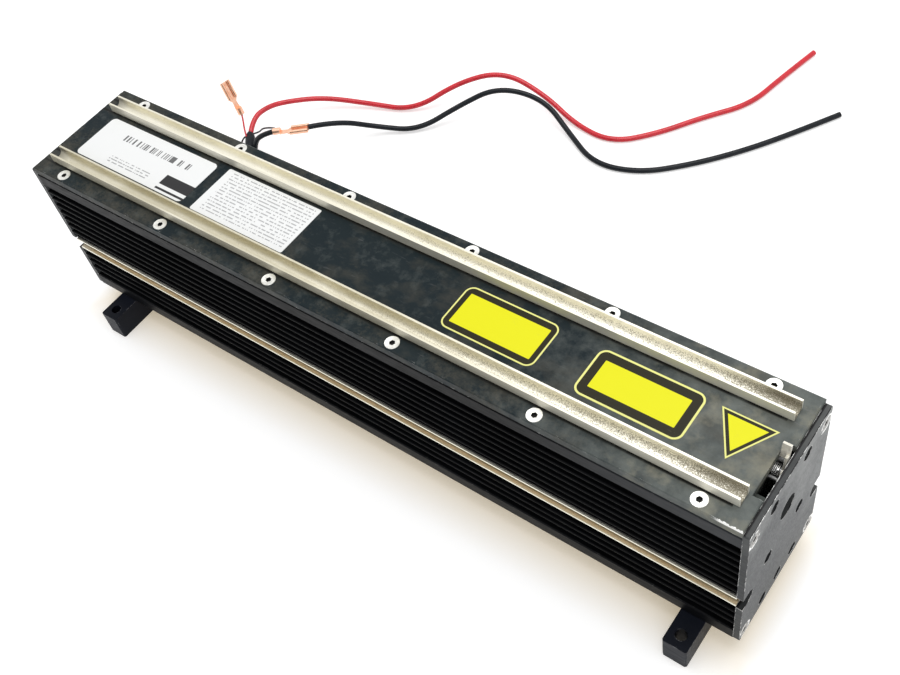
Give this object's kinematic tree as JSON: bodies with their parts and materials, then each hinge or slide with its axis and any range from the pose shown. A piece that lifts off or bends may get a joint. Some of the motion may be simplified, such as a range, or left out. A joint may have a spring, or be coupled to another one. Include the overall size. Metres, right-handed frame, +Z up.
{
  "type": "sealed carbon dioxide laser",
  "caption": "Finned aluminium laser body on two cross bars, with a labelled top cover, bright channels, end plates, a shutter lever over the beam opening and loose supply leads.",
  "frame": {"origin": "on the floor under the middle of the body, plates and cross bars, without the leads", "axes": "+X is the way the beam leaves through the front plate, +Z is up, +Y is the side the leads come out of"},
  "size_m": [0.4714, 0.4172, 0.1226],
  "materials": {
    "body_black": "black anodised extrusion, satin",
    "plate_grey": "dark anodised plate, satin",
    "cover_slate": "dark anodised, worn, satin",
    "gasket_rubber": "matt",
    "bright_channel": "bright bare metal",
    "screw_steel": "bare turned steel",
    "foot_black": "black anodised bar",
    "lever_steel": "sheet steel",
    "inner_aluminium": "machined",
    "coupler_glass": "polished infrared window",
    "mirror_face": "polished",
    "white_ceramic": "fired alumina",
    "copper_metal": "bare copper alloy",
    "board_green": "coated board",
    "component_black": "moulded",
    "capacitor_can": "drawn can",
    "label_white": "printed film",
    "label_yellow": "printed film",
    "sleeve_black": "shrunk sleeve",
    "lead_red": "soft insulation",
    "lead_black": "soft insulation"
  },
  "bodies": {
    "housing": {"chassis": "body_black", "front_plate": "plate_grey", "rear_plate": "plate_grey", "front_plate_screws": "screw_steel", "rear_plate_screws": "screw_steel", "top_cover": "cover_slate", "cover_gasket": "gasket_rubber", "cover_screws_near": "screw_steel", "cover_screws_far": "screw_steel", "top_channel_near": "bright_channel", "top_channel_far": "bright_channel", "side_channel_near": "bright_channel", "side_channel_far": "bright_channel", "foot_rear": "foot_black", "foot_front": "foot_black", "foot_screws": "screw_steel", "shutter_pivot": "screw_steel", "shutter_stops": "screw_steel", "coupler_mount": "inner_aluminium", "output_coupler": "coupler_glass", "coupler_ring": "inner_aluminium", "mirror_mount": "inner_aluminium", "rear_mirror": "mirror_face", "mirror_ring": "inner_aluminium", "electrode_upper": "inner_aluminium", "electrode_lower": "inner_aluminium", "guide_strip_near": "white_ceramic", "guide_strip_far": "white_ceramic", "electrode_spacers": "white_ceramic", "feed_insulator": "white_ceramic", "feed_pin": "copper_metal", "driver_board": "board_green", "board_posts": "copper_metal", "power_transistors": "component_black", "filter_capacitors": "capacitor_can", "driver_choke": "component_black", "label_rear": "label_white", "label_second": "label_white", "label_third": "label_yellow", "label_fourth": "label_yellow", "label_triangle": "label_yellow", "cable_grommet": "sleeve_black", "lead_sleeve": "sleeve_black", "lead_boot": "sleeve_black", "red_lead": "lead_red", "black_tail": "lead_black", "black_lead": "lead_black", "thin_black_wire": "lead_black", "thin_red_wire": "lead_red", "terminal_black": "copper_metal", "terminal_red": "copper_metal"},
    "shutter": {"shutter_lever": "lever_steel"}
  },
  "joints": [
    {"name": "shutter_swing", "type": "hinge", "parent": "housing", "child": "shutter", "pos_m": [0.2154, 0.0015, 0.106], "axis": [1, 0, 0], "range_deg": [0, 54]}
  ]
}
